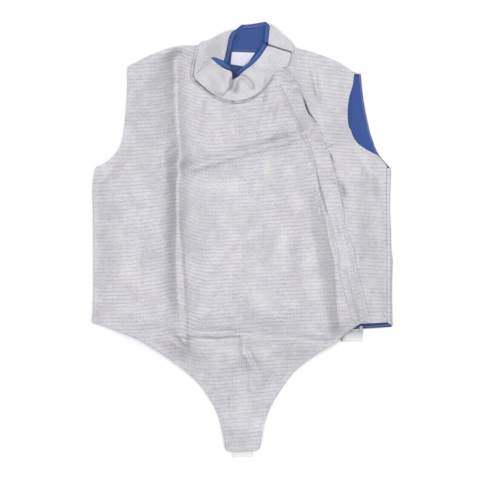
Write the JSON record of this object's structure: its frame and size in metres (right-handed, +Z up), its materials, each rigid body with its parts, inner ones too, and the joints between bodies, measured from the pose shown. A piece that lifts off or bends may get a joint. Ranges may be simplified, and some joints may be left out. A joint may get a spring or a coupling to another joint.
{
  "type": "fencing lame",
  "caption": "Sleeveless silver metallic fencing lame with a blue lining, stand collar, slanted fly and groin tongue, laid flat with its front up.",
  "frame": {"origin": "middle of the footprint, on the surface that the garment lies on", "axes": "+Y along the body towards the collar, +X towards the wearer's left, +Z up out of the front"},
  "size_m": [0.528, 0.762, 0.0143],
  "materials": {
    "silver_cloth": "silver metallic ripstop weave, soft sheen",
    "blue_lining": "matt blue plain weave",
    "blue_binding": "matt blue tape",
    "white_label": "white satin ribbon, bare",
    "white_elastic": "white ribbed elastic"
  },
  "bodies": {
    "root": {"back_panel": "silver_cloth", "back_lining": "blue_lining", "front_panel": "silver_cloth", "side_front": "silver_cloth", "fly_band": "silver_cloth", "side_wrap": "silver_cloth", "back_collar": "silver_cloth", "collar_lining": "blue_lining", "collar_side": "silver_cloth", "front_collar": "silver_cloth", "collar_return": "silver_cloth", "binding_side": "blue_binding", "binding_flap": "blue_binding", "binding_front": "blue_binding", "binding_return": "blue_binding", "binding_top": "blue_binding", "neck_label": "white_label", "tongue_elastic": "white_elastic", "hem_elastic": "white_elastic", "hem_tab": "white_elastic"}
  },
  "joints": []
}
